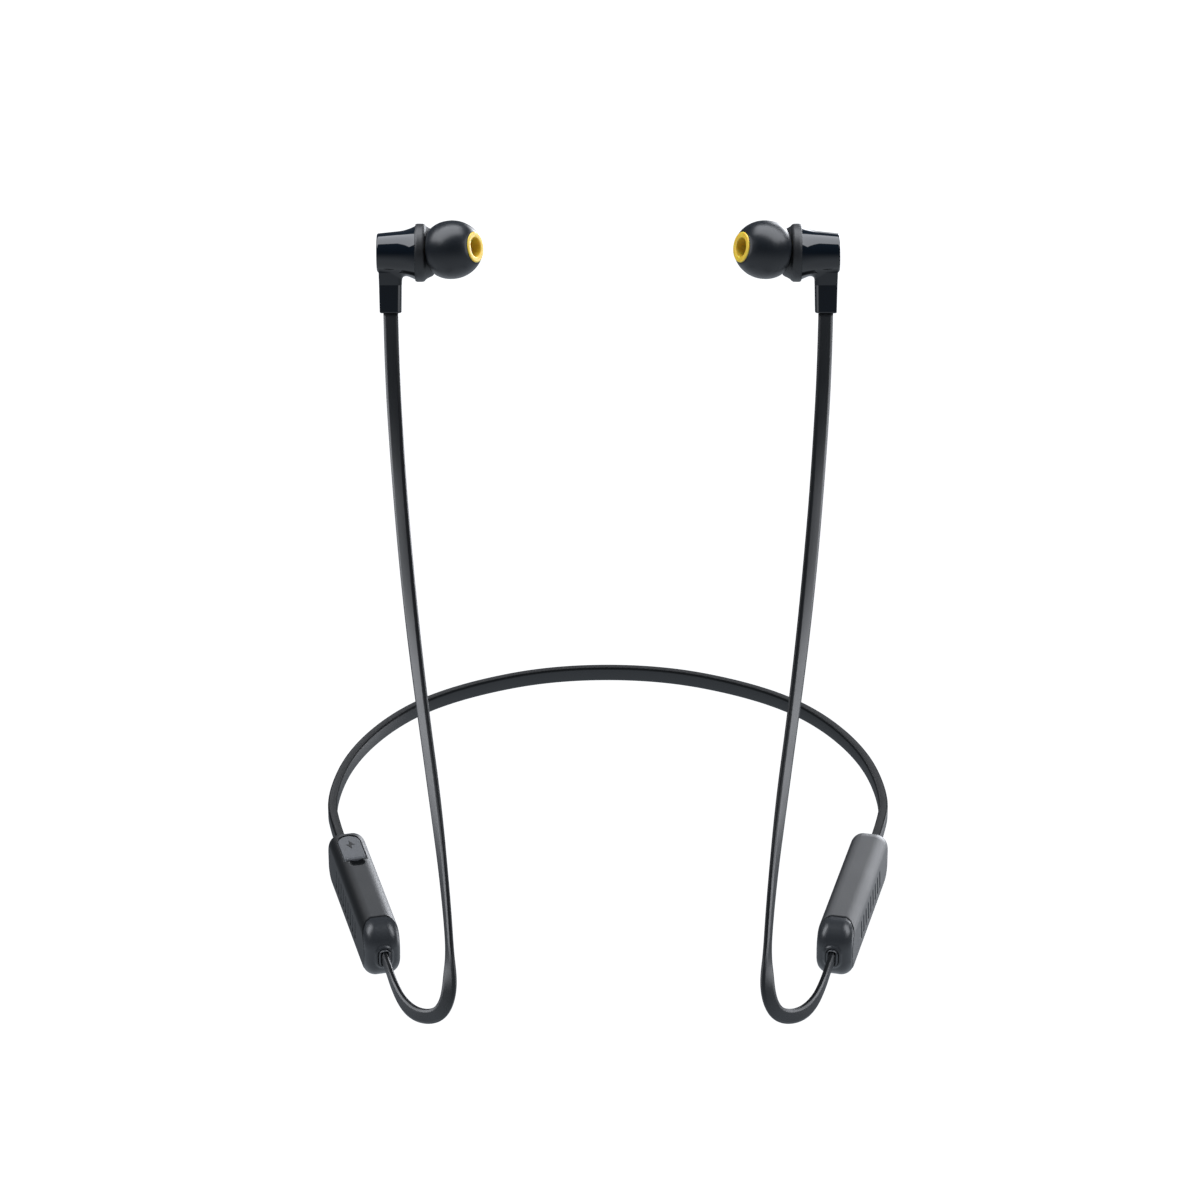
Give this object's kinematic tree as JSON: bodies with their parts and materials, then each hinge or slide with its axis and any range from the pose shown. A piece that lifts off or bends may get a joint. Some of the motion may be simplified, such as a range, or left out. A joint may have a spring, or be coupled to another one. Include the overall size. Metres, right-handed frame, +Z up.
{
  "type": "neckband earphones",
  "caption": "Wireless neckband earphones: a flat neckband cable joins two slim modules, and a flat cable rises from each module to an angled in-ear bud with a domed tip.",
  "frame": {"origin": "middle of the neckband's inner face, where it rests on the nape", "axes": "+Z up, the wearer faces -Y, +X is the wearer's left"},
  "size_m": [0.123, 0.1334, 0.1611],
  "materials": {
    "band_rubber": "satin",
    "cable_rubber": "satin",
    "soft_touch_shell": "soft touch",
    "panel_plastic": "satin",
    "gloss_black": "piano black",
    "gloss_cap": "polished",
    "matte_black": "matte",
    "inner_plastic": "as moulded",
    "grommet_rubber": "satin",
    "cover_rubber": "satin",
    "button_rubber": "satin",
    "board": "solder mask",
    "steel": "satin",
    "light_pipe": "clear",
    "cell_foil": "foil",
    "tab_metal": "bright",
    "magnet_plating": "plated",
    "diaphragm_film": "film",
    "tip_silicone": "satin silicone",
    "core_silicone": "satin silicone"
  },
  "bodies": {
    "headset": {"battery_band_grommet": "grommet_rubber", "battery_cable_collar": "grommet_rubber", "battery_cell": "cell_foil", "battery_front_cap": "gloss_black", "battery_joining_ring": "inner_plastic", "battery_outer_shell": "soft_touch_shell", "battery_side_panel": "panel_plastic", "cell_tab": "tab_metal", "charging_socket": "steel", "circuit_board": "board", "control_band_grommet": "grommet_rubber", "control_cable_collar": "grommet_rubber", "control_front_cap": "gloss_black", "control_joining_ring": "inner_plastic", "control_outer_shell": "soft_touch_shell", "control_side_panel": "panel_plastic", "left_driver_frame": "inner_plastic", "left_driver_magnet": "magnet_plating", "left_ear_cable": "cable_rubber", "left_front_housing": "matte_black", "left_housing_cap": "gloss_cap", "left_nozzle_mesh": "steel", "left_rear_housing": "gloss_black", "left_stem_grommet": "grommet_rubber", "microphone": "steel", "neckband_cable": "band_rubber", "protection_board": "board", "radio_shield": "steel", "right_driver_frame": "inner_plastic", "right_driver_magnet": "magnet_plating", "right_ear_cable": "cable_rubber", "right_front_housing": "matte_black", "right_housing_cap": "gloss_cap", "right_nozzle_mesh": "steel", "right_rear_housing": "gloss_black", "right_stem_grommet": "grommet_rubber", "status_light": "light_pipe", "tactile_switches": "inner_plastic"},
    "charging_cover": {"charging_cover": "cover_rubber"},
    "volume_up_button": {"volume_up_button": "button_rubber"},
    "multi_function_button": {"multi_function_button": "button_rubber"},
    "volume_down_button": {"volume_down_button": "button_rubber"},
    "right_ear_tip": {"right_tip_dome": "tip_silicone", "right_tip_core": "core_silicone"},
    "left_ear_tip": {"left_tip_dome": "tip_silicone", "left_tip_core": "core_silicone"},
    "right_diaphragm": {"right_diaphragm": "diaphragm_film"},
    "left_diaphragm": {"left_diaphragm": "diaphragm_film"}
  },
  "joints": [
    {"name": "charging_cover_hinge", "type": "hinge", "parent": "headset", "child": "charging_cover", "pos_m": [-0.0559, -0.07539, -0.02241], "axis": [-0.9703, -0.2259, -0.0867], "range_deg": [0, 110]},
    {"name": "volume_up_press", "type": "slide", "parent": "headset", "child": "volume_up_button", "axis": [-0.9703, -0.2259, -0.0867], "range_m": [0, 0.0003], "stiffness_N_per_m": 400},
    {"name": "multi_function_press", "type": "slide", "parent": "headset", "child": "multi_function_button", "axis": [-0.9703, -0.2259, -0.0867], "range_m": [0, 0.0003], "stiffness_N_per_m": 400},
    {"name": "volume_down_press", "type": "slide", "parent": "headset", "child": "volume_down_button", "axis": [-0.9703, -0.2259, -0.0867], "range_m": [0, 0.0003], "stiffness_N_per_m": 400},
    {"name": "right_ear_tip_pull", "type": "slide", "parent": "headset", "child": "right_ear_tip", "axis": [0.8711, -0.4749, 0.1253], "range_m": [0, 0.009]},
    {"name": "right_diaphragm_travel", "type": "slide", "parent": "headset", "child": "right_diaphragm", "axis": [1, 0, 0], "range_m": [-0.0002, 0.0002], "stiffness_N_per_m": 200},
    {"name": "left_ear_tip_pull", "type": "slide", "parent": "headset", "child": "left_ear_tip", "axis": [-0.8711, -0.4749, 0.1253], "range_m": [0, 0.009]},
    {"name": "left_diaphragm_travel", "type": "slide", "parent": "headset", "child": "left_diaphragm", "axis": [-1, 0, 0], "range_m": [-0.0002, 0.0002], "stiffness_N_per_m": 200}
  ]
}
